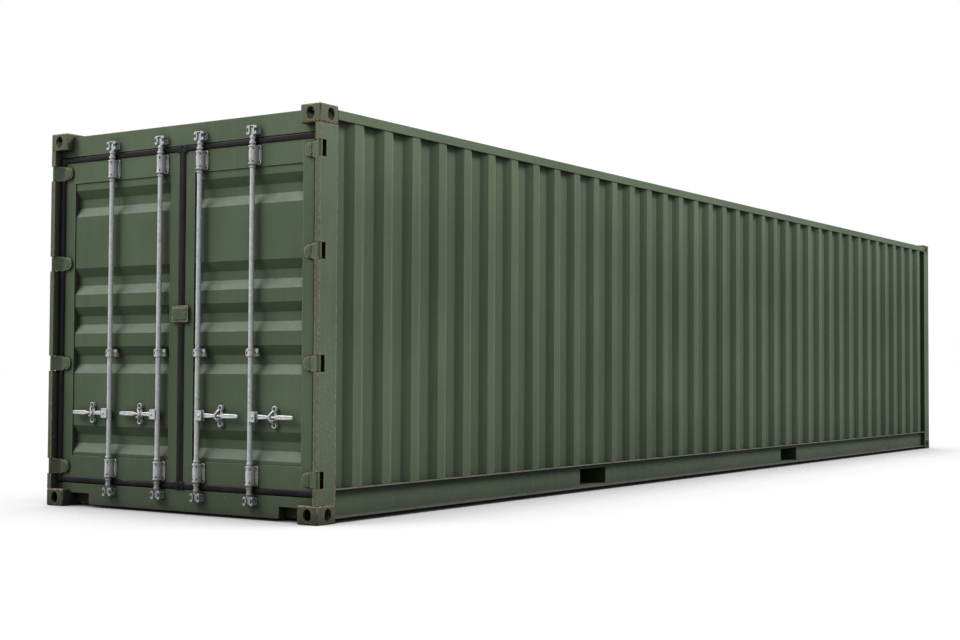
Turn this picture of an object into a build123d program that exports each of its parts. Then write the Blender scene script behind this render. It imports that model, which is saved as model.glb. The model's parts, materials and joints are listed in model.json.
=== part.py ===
from build123d import *
import math
import os

os.makedirs("parts", exist_ok=True)

# A forty-foot shipping container. X runs along its length with the doors at -X, Y across it, Z up.
# Left and right are as seen when facing the doors, so the left door is on the +Y side.
# Round pieces that repeat are drawn with flat sides.
# Lengths are in millimetres. A depth is measured inwards from an end, an inset inwards from a side.

# Overall size
LENGTH = 12192.0
WIDTH = 2438.0
HEIGHT = 2591.0

# Corner castings
CASTING_LENGTH = 178.0
CASTING_WIDTH = 162.0
CASTING_HEIGHT = 118.0
CASTING_PLATE = 28.0
CASTING_WALL = 22.0
CASTING_SEAT = 11.0
CASTING_EDGE = 8.0
APERTURE_LENGTH = 124.0
APERTURE_WIDTH = 63.5
APERTURE_FROM_END = 103.5
APERTURE_FROM_SIDE = 89.5
LIFT_HOLE_WIDTH = 63.5
LIFT_HOLE_HEIGHT = 79.5
LIFT_HOLE_FLATS = 6

# Frame
FRAME_INSET = 3.0
POST_WIDTH = 38.0
REAR_POST_WIDTH = 77.0
POST_WALL = 6.0
TOP_RAIL = 60.0
TOP_RAIL_WALL = 3.0
TOP_RAIL_DROP = 24.0
BOTTOM_RAIL_LOW = 30.0
BOTTOM_RAIL_HIGH = 214.0
BOTTOM_RAIL_DEPTH = 46.0
BOTTOM_RAIL_WEB = 4.5
BOTTOM_RAIL_FLANGE = 8.0
HEADER_TALL = 139.0
SILL_LOW = 20.0
SILL_LEDGE = 160.0
SILL_PLATE = 6.0
SILL_FLANGE = 80.0
SILL_DOOR_GAP = 6.0
SILL_CUT_LENGTH = 200.0
SILL_CUT_HEIGHT = 75.0
BEAM_WALL = 4.0

# Corrugated sheets
SHEET = 2.0
SIDE_RIBS = 38
SIDE_RIB_FACE = 82.0
SIDE_RIB_SLOPE = 66.0
SIDE_RIB_DEPTH = 36.0
SIDE_END_LAND = 110.0
SHEET_INSET = 8.0
END_RIBS = 9
END_RIB_FACE = 100.0
END_RIB_SLOPE = 22.0
END_RIB_DEPTH = 44.0
END_LAND = 70.0
ROOF_RIBS = 44
ROOF_RIB_FACE = 70.0
ROOF_RIB_SLOPE = 20.0
ROOF_RIB_RISE = 15.0
ROOF_MARGIN = 120.0
ROOF_LAP = 45.0

# Floor and underframe
FLOOR_THICK = 28.0
FLOOR_DROP = 4.0
FLOOR_PANELS = 10
FLOOR_GAP = 2.0
CROSS_COUNT = 37
CROSS_FROM_END = 128.0
CROSS_HEIGHT = 122.0
CROSS_FLANGE = 45.0
CROSS_WALL = 4.0
POCKET_CENTRES = (-2600.0, 1500.0)
POCKET_WIDTH = 420.0
POCKET_LOW = 47.0
POCKET_HIGH = 177.0
POCKET_PLATE = 5.0
STRAP_LENGTH = 400.0

# Doors
DOOR_DEPTH = 62.0
DOOR_THICK = 50.0
DOOR_SIDE_GAP = 50.0
DOOR_CENTRE_GAP = 29.0
DOOR_END_GAP = 44.0
OUTER_STILE = 95.0
INNER_STILE = 81.0
STILE_WALL = 3.2
TOP_DOOR_RAIL = 145.0
BOTTOM_DOOR_RAIL = 147.0
PANEL_SETBACK = 6.0
LOW_CHANNEL_RISE = 116.0
MIDDLE_CHANNELS = (-283.0, -10.0, 260.0)
HIGH_CHANNEL_DROP = 143.0
CHANNEL_FLOOR = 58.0
CHANNEL_SLOPE = 63.0
CHANNEL_DEPTH = 32.0
GASKET_CLEARANCE = 5.0
GASKET_PROUD = 8.0
GASKET_DEPTH = 50.0
GASKET_EDGE = 10.0
PLATE_SIZE = 110.0
PLATE_OVERLAP = 75.0
PLATE_RISE = 18.0
PLATE_THICK = 5.0

# Hinges
HINGE_FROM_EDGE = 70.0
MIDDLE_HINGES = (784.0, 1478.0)
PIN_OFFSET = 20.0
PIN_RADIUS = 8.0
PIN_FIT = 0.05
KNUCKLE_WALL = 8.0
HINGE_HEIGHT = 94.0
NOTCH_MARGIN = 5.0
NOTCH_BEHIND_PIN = 43.0
BLADE_THICK = 14.0
BLADE_REACH = 166.0
BLADE_CORNER = 28.0
CRANK_ANGLE = 60.0
KNUCKLE_FLATS = 8
PIN_FLATS = 12
LUG_THICK = 12.0
PIN_SEAT = 6.0

# Locking gear
INNER_BAR_SHARE = 0.224
BETWEEN_BARS_SHARE = 0.338
BAR_STANDOFF = 30.0
BAR_RADIUS = 16.0
BAR_FIT = 0.5
BAR_FLATS = 24
CAM_FROM_SEAL = 42.0
CAM_HEEL = 11.0
CAM_REACH = 22.0
CAM_THICK = 14.0
CAM_TALL = 40.0
KEEPER_HALF = 43.0
KEEPER_TALL = 58.0
KEEPER_JAW = 27.0
KEEPER_LIP = 15.0
KEEPER_LIP_THICK = 6.0
KEEPER_BASE = 5.0
KEEPER_GAP = 4.0
KEEPER_CORNER = 10.0
HOUSING_WALL = 8.5
SADDLE_CORNER = 14.0
BRACKET_WIDTH = 100.0
BRACKET_TALL = 128.0
BRACKET_PLATE = 6.0
BRACKET_CORNER = 12.0
COLLAR_PROUD = 4.0
COLLAR_FLATS = 12
COLLAR_TALL = 10.0
COLLAR_GAP = 1.0
GUIDE_RISE = 45.0
GUIDE_TALL = 56.0
GUIDE_WALL = 5.5
HANDLE_RISE = 446.0
HUB_REACH = 52.0
HUB_TALL = 70.0
HUB_THICK = 36.0
HUB_SLOT = 14.0
HUB_GAP = 2.5
RIVET_OFFSET = 38.0
RIVET_RADIUS = 6.0
RIVET_FLATS = 8
HANDLE_LENGTH = 355.0
HANDLE_THICK = 13.0
HANDLE_ROOT = 14.0
HANDLE_NECK = 9.0
HANDLE_GRIP = 13.0
HANDLE_FLATS = 8
GRIP_LENGTH = 140.0
RETAINER_OFFSET = 186.0
RETAINER_WIDTH = 24.0
RETAINER_PLATE = 5.0
EYE_RADIUS = 17.0
EYE_RISE = 50.0
EYE_REACH = 18.0
EYE_FLATS = 12
SHELF_GAP = 8.0
SHELF_THICK = 7.0

# Planes and levels that several pieces share
DOOR_END = -LENGTH / 2
REAR_END = LENGTH / 2
SIDE = WIDTH / 2
POST_LENGTH = CASTING_LENGTH - FRAME_INSET
POST_FACE = SIDE - FRAME_INSET - POST_WIDTH
CASTING_FACE = SIDE - CASTING_WIDTH
CASTING_TOP = HEIGHT - CASTING_HEIGHT
RAIL_TOP = HEIGHT - TOP_RAIL_DROP
RAIL_UNDER = RAIL_TOP - TOP_RAIL
INNER_END = LENGTH / 2 - CASTING_LENGTH
WEB_FACE = SIDE - BOTTOM_RAIL_DEPTH - BOTTOM_RAIL_WEB
FLOOR_TOP = BOTTOM_RAIL_HIGH - FLOOR_DROP
FLOOR_UNDER = FLOOR_TOP - FLOOR_THICK
HEADER_LOW = RAIL_TOP - HEADER_TALL
DOOR_FACE = DOOR_END + DOOR_DEPTH
DOOR_BACK = DOOR_FACE + DOOR_THICK
DOOR_OUTER = POST_FACE - DOOR_SIDE_GAP
DOOR_LOW = SILL_LEDGE + DOOR_END_GAP
DOOR_HIGH = HEADER_LOW - DOOR_END_GAP
PANEL_OUTER = DOOR_OUTER - OUTER_STILE
PANEL_INNER = DOOR_CENTRE_GAP + INNER_STILE
PANEL_LOW = DOOR_LOW + BOTTOM_DOOR_RAIL
PANEL_HIGH = DOOR_HIGH - TOP_DOOR_RAIL
PANEL_MIDDLE = (PANEL_LOW + PANEL_HIGH) / 2
PANEL_FACE = DOOR_FACE + PANEL_SETBACK
CHANNEL_CENTRES = (
    PANEL_LOW + LOW_CHANNEL_RISE,
    *[PANEL_MIDDLE + offset for offset in MIDDLE_CHANNELS],
    PANEL_HIGH - HIGH_CHANNEL_DROP,
)
HINGE_HEIGHTS = (
    DOOR_LOW + HINGE_FROM_EDGE,
    *[DOOR_LOW + rise for rise in MIDDLE_HINGES],
    DOOR_HIGH - HINGE_FROM_EDGE,
)
KNUCKLE_RADIUS = PIN_RADIUS + KNUCKLE_WALL
PIN_X = DOOR_END + PIN_OFFSET
PIN_Y = SIDE - PIN_OFFSET
NOTCH_BACK = PIN_X + NOTCH_BEHIND_PIN
BAR_X = DOOR_FACE - BAR_STANDOFF
BAR_ROOM = BAR_RADIUS + BAR_FIT
HOUSING_HALF = BAR_ROOM + HOUSING_WALL
GUIDE_HALF = BAR_ROOM + GUIDE_WALL
COLLAR_RADIUS = BAR_RADIUS + COLLAR_PROUD
TOP_BRACKET = DOOR_HIGH - TOP_DOOR_RAIL / 2
BOTTOM_BRACKET = DOOR_LOW + BOTTOM_DOOR_RAIL / 2
CAM_HEIGHTS = (SILL_LEDGE - CAM_FROM_SEAL, HEADER_LOW + CAM_FROM_SEAL)
HANDLE_HEIGHT = DOOR_LOW + HANDLE_RISE

# Two handles lie side by side beyond the inner stile, and the width they leave free is shared out.
FREE_WIDTH = DOOR_OUTER - PANEL_INNER - 2 * HANDLE_LENGTH
INNER_BAR = PANEL_INNER + INNER_BAR_SHARE * FREE_WIDTH
OUTER_BAR = INNER_BAR + HANDLE_LENGTH + BETWEEN_BARS_SHARE * FREE_WIDTH
BAR_OFFSETS = (INNER_BAR, OUTER_BAR)


# Shape helpers
def block(x0, x1, y0, y1, z0, z1):
    """A box between two opposite corners."""
    centre = Pos((x0 + x1) / 2, (y0 + y1) / 2, (z0 + z1) / 2)
    return centre * Box(x1 - x0, y1 - y0, z1 - z0)


def prism_x(outline, x0, x1):
    """An outline of (y, z) points carried along X."""
    face = make_face(Polyline(*[(x0, y, z) for y, z in outline], close=True))
    return extrude(face, amount=x1 - x0, dir=(1, 0, 0))


def prism_y(outline, y0, y1):
    """An outline of (x, z) points carried along Y."""
    face = make_face(Polyline(*[(x, y0, z) for x, z in outline], close=True))
    return extrude(face, amount=y1 - y0, dir=(0, 1, 0))


def prism_z(outline, z0, z1):
    """An outline of (x, y) points carried up Z."""
    face = make_face(Polyline(*[(x, y, z0) for x, y in outline], close=True))
    return extrude(face, amount=z1 - z0, dir=(0, 0, 1))


def flats_z(x, y, z0, z1, radius, count):
    """A standing bar with flat sides that lie a radius from its axis."""
    outline = RegularPolygon(radius, count, major_radius=False, rotation=180 / count)
    return Pos(x, y, z0) * extrude(outline, amount=z1 - z0)


def flats_x(x0, x1, y, z, radius, count):
    """A bar along X with flat sides that lie a radius from its axis."""
    outline = RegularPolygon(radius, count, major_radius=False, rotation=180 / count)
    return Pos(x0, y, z) * Rot(0, 90, 0) * extrude(outline, amount=x1 - x0)


def inside_flats(radius, count):
    """The distance to the flats of a bar whose corners lie a radius from its axis."""
    return radius * math.cos(math.pi / count)


def other_side(shape):
    """The same piece on the other side of the lengthwise centre plane."""
    return mirror(shape, Plane.XZ)


def save(name, *shapes):
    """Write one sub-part, as one or more solids."""
    solids = [solid for shape in shapes for solid in shape.solids()]
    export_step(Compound(children=solids), f"parts/{name}.step")


# Corner castings
def flat_slot(length, width, flats):
    """A slot whose round ends are drawn with a few flats."""
    radius = width / 2
    reach = length / 2 - radius
    turns = [math.pi * (step / flats - 1 / 2) for step in range(flats + 1)]
    end = [(reach + radius * math.cos(turn), radius * math.sin(turn)) for turn in turns]
    return make_face(Polyline(*end, *[(-along, -across) for along, across in end], close=True))


def casting():
    """A door-end bottom casting on the left: a hollow block with one aperture and two lifting holes."""
    x0, y0 = DOOR_END, CASTING_FACE
    body = block(x0, x0 + CASTING_LENGTH, y0, SIDE, 0, CASTING_HEIGHT)
    body = chamfer(body.edges(), CASTING_EDGE)
    body -= block(
        x0 + CASTING_WALL,
        x0 + CASTING_LENGTH - CASTING_WALL,
        y0 + CASTING_WALL,
        SIDE - CASTING_WALL,
        CASTING_PLATE,
        CASTING_HEIGHT - CASTING_SEAT,
    )
    centre_x = x0 + APERTURE_FROM_END
    centre_y = SIDE - APERTURE_FROM_SIDE
    aperture = extrude(SlotOverall(APERTURE_LENGTH, APERTURE_WIDTH), amount=CASTING_PLATE)
    body -= Pos(centre_x, centre_y, 0) * aperture
    hole = extrude(flat_slot(LIFT_HOLE_HEIGHT, LIFT_HOLE_WIDTH, LIFT_HOLE_FLATS), amount=CASTING_WALL)
    end_hole = Pos(x0, (y0 + SIDE) / 2, CASTING_HEIGHT / 2) * Rot(0, 90, 0) * hole
    side_hole = Pos(centre_x, SIDE, CASTING_HEIGHT / 2) * Rot(90, 0, 0) * Rot(0, 0, 90) * hole
    return body - end_hole - side_hole


def four_corners(piece):
    """A corner piece repeated at the four corners of a level."""
    pair = [piece, other_side(piece)]
    return pair + [mirror(one, Plane.YZ) for one in pair]


def build_castings():
    lower = four_corners(casting())
    middle = Plane.XY.offset(HEIGHT / 2)
    upper = [mirror(one, middle) for one in lower]
    save("bottom_corner_castings", *lower)
    save("top_corner_castings", *upper)


# Posts
def tube_z(x0, x1, y0, y1, z0, z1, wall):
    """A square-cornered tube standing between two heights."""
    outer = block(x0, x1, y0, y1, z0, z1)
    return outer - block(x0 + wall, x1 - wall, y0 + wall, y1 - wall, z0, z1)


def build_posts():
    outer_y = SIDE - FRAME_INSET
    low, high = CASTING_HEIGHT, CASTING_TOP
    front = DOOR_END + FRAME_INSET
    post = tube_z(front, front + POST_LENGTH, POST_FACE, outer_y, low, high, POST_WALL)
    half = HINGE_HEIGHT / 2 + NOTCH_MARGIN
    for height in HINGE_HEIGHTS:
        post -= block(DOOR_END, NOTCH_BACK, POST_FACE, SIDE, height - half, height + half)
    save("door_post_left", post)
    save("door_post_right", other_side(post))
    back = REAR_END - FRAME_INSET
    rear = tube_z(back - POST_LENGTH, back, outer_y - REAR_POST_WIDTH, outer_y, low, high, POST_WALL)
    save("rear_post_left", rear)
    save("rear_post_right", other_side(rear))


def build_hinge_pins():
    """A pin through each knuckle, carried by a lug above and below it inside the hollow post."""
    half = HINGE_HEIGHT / 2 + NOTCH_MARGIN
    lug_x0 = DOOR_END + FRAME_INSET + POST_WALL
    lug_y0 = POST_FACE + POST_WALL
    lug_y1 = SIDE - FRAME_INSET - POST_WALL
    pins = []
    for height in HINGE_HEIGHTS:
        reach = half + PIN_SEAT
        apothem = inside_flats(PIN_RADIUS, PIN_FLATS)
        pin = flats_z(PIN_X, PIN_Y, height - reach, height + reach, apothem, PIN_FLATS)
        for low in (height - half - LUG_THICK, height + half):
            pin += block(lug_x0, NOTCH_BACK, lug_y0, lug_y1, low, low + LUG_THICK)
        pins += [pin, other_side(pin)]
    save("hinge_pins", *pins)


# Rails along the sides
def build_side_rails():
    outer = SIDE - FRAME_INSET
    inner = outer - TOP_RAIL
    wall = TOP_RAIL_WALL
    top = block(-INNER_END, INNER_END, inner, outer, RAIL_UNDER, RAIL_TOP)
    top -= block(-INNER_END, INNER_END, inner + wall, outer - wall, RAIL_UNDER + wall, RAIL_TOP - wall)
    save("top_rail_left", top)
    save("top_rail_right", other_side(top))
    web = SIDE - BOTTOM_RAIL_DEPTH
    low, high = BOTTOM_RAIL_LOW, BOTTOM_RAIL_HIGH
    section = [
        (WEB_FACE, low),
        (outer, low),
        (outer, low + BOTTOM_RAIL_FLANGE),
        (web, low + BOTTOM_RAIL_FLANGE),
        (web, high - BOTTOM_RAIL_FLANGE),
        (outer, high - BOTTOM_RAIL_FLANGE),
        (outer, high),
        (WEB_FACE, high),
    ]
    bottom = prism_x(section, -INNER_END, INNER_END)
    half = POCKET_WIDTH / 2
    for centre in POCKET_CENTRES:
        bottom -= block(centre - half, centre + half, WEB_FACE, SIDE, POCKET_LOW, POCKET_HIGH)
    save("bottom_rail_left", bottom)
    save("bottom_rail_right", other_side(bottom))


# Beams across the ends
def beam_y(x0, x1, half_length, z0, z1, wall):
    """A square-cornered tube across the container, open at its ends."""
    outer = block(x0, x1, -half_length, half_length, z0, z1)
    return outer - block(x0 + wall, x1 - wall, -half_length, half_length, z0 + wall, z1 - wall)


def build_headers():
    back = DOOR_END + CASTING_LENGTH
    header = beam_y(DOOR_FACE, back, CASTING_FACE, HEADER_LOW, RAIL_TOP, BEAM_WALL)
    arm = beam_y(DOOR_FACE, back, POST_FACE, HEADER_LOW, CASTING_TOP, BEAM_WALL)
    arm -= block(DOOR_FACE, back, -CASTING_FACE, CASTING_FACE, HEADER_LOW, CASTING_TOP)
    save("door_header", header + arm)
    outer = REAR_END - FRAME_INSET
    rear = beam_y(outer - TOP_RAIL, outer, CASTING_FACE, RAIL_UNDER, RAIL_TOP, TOP_RAIL_WALL)
    save("rear_header", rear)


def build_sills():
    face, plate = DOOR_FACE, SILL_PLATE
    riser = DOOR_BACK + SILL_DOOR_GAP
    back = DOOR_END + CASTING_LENGTH
    upper = [
        (face, CASTING_HEIGHT),
        (face + plate, CASTING_HEIGHT),
        (face + plate, SILL_LEDGE - plate),
        (riser + plate, SILL_LEDGE - plate),
        (riser + plate, FLOOR_TOP - plate),
        (back, FLOOR_TOP - plate),
        (back, FLOOR_TOP),
        (riser, FLOOR_TOP),
        (riser, SILL_LEDGE),
        (face, SILL_LEDGE),
    ]
    sill = prism_y(upper, -POST_FACE, POST_FACE)
    sill += block(face, face + plate, -CASTING_FACE, CASTING_FACE, SILL_LOW, CASTING_HEIGHT)
    sill += block(face, face + SILL_FLANGE, -CASTING_FACE, CASTING_FACE, SILL_LOW, SILL_LOW + plate)
    cut_start = CASTING_FACE - SILL_CUT_LENGTH
    cut_high = SILL_LOW + SILL_CUT_HEIGHT
    cut_back = face + SILL_FLANGE - plate
    cut = block(face, face + SILL_FLANGE, cut_start, CASTING_FACE, SILL_LOW, cut_high)
    lip = block(face, face + SILL_FLANGE, cut_start - plate, CASTING_FACE, cut_high, cut_high + plate)
    cheek = block(face, face + SILL_FLANGE, cut_start - plate, cut_start, SILL_LOW, cut_high)
    rear_plate = block(cut_back, cut_back + plate, cut_start, CASTING_FACE, SILL_LOW, cut_high)
    recess = lip + cheek + rear_plate
    save("door_sill", sill - cut - other_side(cut) + recess + other_side(recess))
    outer = REAR_END - FRAME_INSET
    inner = outer - TOP_RAIL
    rear = beam_y(inner, outer, CASTING_FACE, BOTTOM_RAIL_LOW, BOTTOM_RAIL_HIGH, BEAM_WALL)
    rear_post_face = SIDE - FRAME_INSET - REAR_POST_WIDTH
    arm = beam_y(inner, outer, rear_post_face, CASTING_HEIGHT, BOTTOM_RAIL_HIGH, BEAM_WALL)
    arm -= block(inner, outer, -CASTING_FACE, CASTING_FACE, CASTING_HEIGHT, BOTTOM_RAIL_HIGH)
    save("rear_sill", rear + arm)


# Corrugated walls and roof
def corrugation(span, ribs, face, slope, depth, end_land):
    """The outer surface of a trapezoid sheet as (along, depth) points, with ribs at depth 0."""
    land = (span - 2 * end_land - ribs * (face + 2 * slope)) / (ribs - 1)
    outline = [(0, depth)]
    along = end_land
    for _ in range(ribs):
        outline.append((along, depth))
        outline.append((along + slope, 0))
        outline.append((along + slope + face, 0))
        outline.append((along + 2 * slope + face, depth))
        along += 2 * slope + face + land
    outline.append((span, depth))
    return outline


def build_walls():
    outline = corrugation(
        2 * INNER_END, SIDE_RIBS, SIDE_RIB_FACE, SIDE_RIB_SLOPE, SIDE_RIB_DEPTH, SIDE_END_LAND
    )
    outside = [(along - INNER_END, SIDE - SHEET_INSET - depth) for along, depth in outline]
    inside = [(x, y - SHEET) for x, y in reversed(outside)]
    wall = prism_z(outside + inside, BOTTOM_RAIL_HIGH, RAIL_UNDER)
    save("side_wall_left", wall)
    save("side_wall_right", other_side(wall))
    half_span = SIDE - FRAME_INSET - REAR_POST_WIDTH
    outline = corrugation(2 * half_span, END_RIBS, END_RIB_FACE, END_RIB_SLOPE, END_RIB_DEPTH, END_LAND)
    outside = [(REAR_END - SHEET_INSET - depth, along - half_span) for along, depth in outline]
    inside = [(x - SHEET, y) for x, y in reversed(outside)]
    wall = prism_z(outside + inside, BOTTOM_RAIL_HIGH, RAIL_UNDER)
    corner = block(INNER_END, REAR_END, CASTING_FACE, SIDE, CASTING_TOP, HEIGHT)
    save("end_wall", wall - corner - other_side(corner))


def roof_rib(x, half_length, rise, grow):
    """A low trapezoid rib across the roof, closed at its ends; grow offsets it by a sheet."""
    half_face = ROOF_RIB_FACE / 2 + grow
    half_foot = half_face + ROOF_RIB_SLOPE
    section = [(x - half_foot, 0), (x - half_face, rise), (x + half_face, rise), (x + half_foot, 0)]
    return prism_y([(px, RAIL_TOP + pz) for px, pz in section], -half_length - grow, half_length + grow)


def build_roof():
    """A sheet lapped on the top rails, with pressed ribs across it and a plate at each end."""
    start = DOOR_END + CASTING_LENGTH
    half_y = SIDE - ROOF_LAP
    half_rib = half_y - ROOF_MARGIN
    sheet = block(start, -start, -half_y, half_y, RAIL_TOP, RAIL_TOP + SHEET)
    pitch = (-2 * start - 2 * ROOF_MARGIN) / ROOF_RIBS
    centres = [start + ROOF_MARGIN + pitch * (rib + 0.5) for rib in range(ROOF_RIBS)]
    ribs = [roof_rib(x, half_rib, ROOF_RIB_RISE, SHEET) for x in centres]
    hollows = [roof_rib(x, half_rib, ROOF_RIB_RISE - SHEET, 0) for x in centres]
    save("roof", sheet.fuse(*ribs).cut(*hollows))
    rear_edge = REAR_END - FRAME_INSET - ROOF_LAP
    plates = [
        block(x0, x1, -CASTING_FACE, CASTING_FACE, RAIL_TOP, RAIL_TOP + SHEET)
        for x0, x1 in ((start - ROOF_LAP, start), (-start, rear_edge))
    ]
    save("roof_end_plates", *plates)


# Floor and underframe
def build_floor():
    start = DOOR_END + CASTING_LENGTH
    end = REAR_END - FRAME_INSET - TOP_RAIL
    pitch = (end - start) / FLOOR_PANELS
    post_y = SIDE - FRAME_INSET - REAR_POST_WIDTH
    post = block(INNER_END, end, post_y, WEB_FACE, FLOOR_UNDER, FLOOR_TOP)
    panels = []
    for panel in range(FLOOR_PANELS):
        x0 = start + panel * pitch
        board = block(x0, x0 + pitch - FLOOR_GAP, -WEB_FACE, WEB_FACE, FLOOR_UNDER, FLOOR_TOP)
        panels.append(board - post - other_side(post))
    save("floor_boards", *panels)


def cross_member(x):
    """A pressed channel under the floor, its flanges towards the rear."""
    low, high, wall = FLOOR_UNDER - CROSS_HEIGHT, FLOOR_UNDER, CROSS_WALL
    section = [
        (x, low),
        (x + CROSS_FLANGE, low),
        (x + CROSS_FLANGE, low + wall),
        (x + wall, low + wall),
        (x + wall, high - wall),
        (x + CROSS_FLANGE, high - wall),
        (x + CROSS_FLANGE, high),
        (x, high),
    ]
    return prism_y(section, -WEB_FACE, WEB_FACE)


def build_underframe():
    start = DOOR_END + CASTING_LENGTH
    pitch = (2 * INNER_END - 2 * CROSS_FROM_END - CROSS_FLANGE) / (CROSS_COUNT - 1)
    half = POCKET_WIDTH / 2
    keep_out = half + POCKET_PLATE + CROSS_FLANGE
    members = []
    for index in range(CROSS_COUNT):
        x = start + CROSS_FROM_END + pitch * index
        if all(abs(x + CROSS_FLANGE / 2 - centre) > keep_out for centre in POCKET_CENTRES):
            members.append(cross_member(x))
    save("cross_members", *members)
    sides, tops, straps = [], [], []
    for centre in POCKET_CENTRES:
        x0, x1 = centre - half, centre + half
        tops.append(block(x0, x1, -WEB_FACE, WEB_FACE, POCKET_HIGH, FLOOR_UNDER))
        for edge in (x0 - POCKET_PLATE, x1):
            low = POCKET_LOW - POCKET_PLATE
            sides.append(block(edge, edge + POCKET_PLATE, -WEB_FACE, WEB_FACE, low, FLOOR_UNDER))
        strap = block(x0, x1, WEB_FACE - STRAP_LENGTH, WEB_FACE, POCKET_LOW - POCKET_PLATE, POCKET_LOW)
        straps += [strap, other_side(strap)]
    save("fork_pocket_sides", *sides)
    save("fork_pocket_tops", *tops)
    save("fork_pocket_straps", *straps)


# Door leaves, built for the left door and mirrored for the right one
def stiles():
    pair = []
    for y0, y1 in ((PANEL_OUTER, DOOR_OUTER), (DOOR_CENTRE_GAP, PANEL_INNER)):
        pair.append(tube_z(DOOR_FACE, DOOR_BACK, y0, y1, DOOR_LOW, DOOR_HIGH, STILE_WALL))
    return pair


def rails():
    """Top and bottom channels of a leaf, their flanges towards the cargo."""
    pair = []
    for low, high in ((PANEL_HIGH, DOOR_HIGH), (DOOR_LOW, PANEL_LOW)):
        rail = block(DOOR_FACE, DOOR_BACK, PANEL_INNER, PANEL_OUTER, low, high)
        rail -= block(
            DOOR_FACE + BEAM_WALL, DOOR_BACK, PANEL_INNER, PANEL_OUTER, low + BEAM_WALL, high - BEAM_WALL
        )
        pair.append(rail)
    return pair


def panel_face():
    """The panel's outer surface from bottom to top as (x, z) points, with its sunk channels."""
    surface = [(PANEL_FACE, PANEL_LOW)]
    sunk = PANEL_FACE + CHANNEL_DEPTH
    half_floor = CHANNEL_FLOOR / 2
    half_mouth = half_floor + CHANNEL_SLOPE
    for centre in CHANNEL_CENTRES:
        surface.append((PANEL_FACE, centre - half_mouth))
        surface.append((sunk, centre - half_floor))
        surface.append((sunk, centre + half_floor))
        surface.append((PANEL_FACE, centre + half_mouth))
    surface.append((PANEL_FACE, PANEL_HIGH))
    return surface


def panel():
    outside = panel_face()
    inside = [(x + SHEET, z) for x, z in reversed(outside)]
    return prism_y(outside + inside, PANEL_INNER, PANEL_OUTER)


def gasket():
    """A rubber seal round the leaf's edge, its front edges cut back."""
    front = DOOR_FACE - GASKET_PROUD
    back = front + GASKET_DEPTH
    low, high = SILL_LEDGE + GASKET_CLEARANCE, HEADER_LOW - GASKET_CLEARANCE
    seal = block(front, back, GASKET_CLEARANCE / 2, POST_FACE - GASKET_CLEARANCE, low, high)
    seal -= block(front, back, DOOR_CENTRE_GAP, DOOR_OUTER, DOOR_LOW, DOOR_HIGH)
    front_edges = seal.edges().filter_by_position(Axis.X, front, front)
    seal = chamfer(front_edges, GASKET_EDGE)
    half = HINGE_HEIGHT / 2 + NOTCH_MARGIN
    for height in HINGE_HEIGHTS:
        seal -= block(front, DOOR_FACE, DOOR_OUTER, POST_FACE, height - half, height + half)
    return seal


def hinge_blade(height):
    """A knuckle on the post pin with a cranked tongue laid on the outer stile."""
    half = HINGE_HEIGHT / 2
    low, high = height - half, height + half
    face = DOOR_FACE - BLADE_THICK
    tip = SIDE - BLADE_REACH
    across = KNUCKLE_RADIUS * math.sin(math.radians(CRANK_ANGLE))
    along = KNUCKLE_RADIUS * math.cos(math.radians(CRANK_ANGLE))
    crank = [
        (PIN_X - along, PIN_Y - across),
        (face, DOOR_OUTER + BLADE_THICK / 2),
        (face, tip),
        (DOOR_FACE, tip),
        (DOOR_FACE, DOOR_OUTER + 2 * BLADE_THICK),
        (PIN_X + across, PIN_Y - along),
        (PIN_X, PIN_Y),
    ]
    front_view = [
        (SIDE, low),
        (tip + BLADE_CORNER, low),
        (tip, low + BLADE_CORNER),
        (tip, high - BLADE_CORNER),
        (tip + BLADE_CORNER, high),
        (SIDE, high),
    ]
    blade = prism_z(crank, low, high) & prism_x(front_view, DOOR_END, DOOR_FACE)
    blade += flats_z(PIN_X, PIN_Y, low, high, KNUCKLE_RADIUS, KNUCKLE_FLATS)
    return blade - flats_z(PIN_X, PIN_Y, low, high, PIN_RADIUS + PIN_FIT, PIN_FLATS)


# Locking gear, built for the left door and mirrored for the right one
def saddle(y, low, high, half, back):
    """A block with cut corners round the front of a locking bar, its two legs running back to a plane."""
    front = BAR_X - half
    right_half = [(front, half - SADDLE_CORNER), (front + SADDLE_CORNER, half), (back, half)]
    outline = right_half + [(x, -across) for x, across in reversed(right_half)]
    body = prism_z([(x, y + across) for x, across in outline], low, high)
    body -= flats_z(BAR_X, y, low, high, BAR_ROOM, BAR_FLATS)
    return body - block(BAR_X, back, y - BAR_ROOM, y + BAR_ROOM, low, high)


def bracket(y, height):
    """A bearing saddle for a locking bar on a bolted plate with cut corners."""
    low, high = height - BRACKET_TALL / 2, height + BRACKET_TALL / 2
    half = BRACKET_WIDTH / 2
    front = DOOR_FACE - BRACKET_PLATE
    plate = block(front, DOOR_FACE, y - half, y + half, low, high)
    plate = chamfer(plate.edges().filter_by(Axis.X), BRACKET_CORNER)
    return plate + saddle(y, low, high, HOUSING_HALF, front)


def middle_guide(y):
    """A short saddle whose legs reach back to the sunk panel."""
    height = CHANNEL_CENTRES[1] + GUIDE_RISE
    low, high = height - GUIDE_TALL / 2, height + GUIDE_TALL / 2
    surface = panel_face()
    front = BAR_X - GUIDE_HALF
    room = [(front, PANEL_LOW)] + surface + [(front, PANEL_HIGH)]
    guide = saddle(y, low, high, GUIDE_HALF, PANEL_FACE + CHANNEL_DEPTH)
    return guide & prism_y(room, y - GUIDE_HALF, y + GUIDE_HALF)


def brackets():
    pieces = []
    for y in BAR_OFFSETS:
        pieces += [bracket(y, TOP_BRACKET), bracket(y, BOTTOM_BRACKET), middle_guide(y)]
    return pieces


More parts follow.
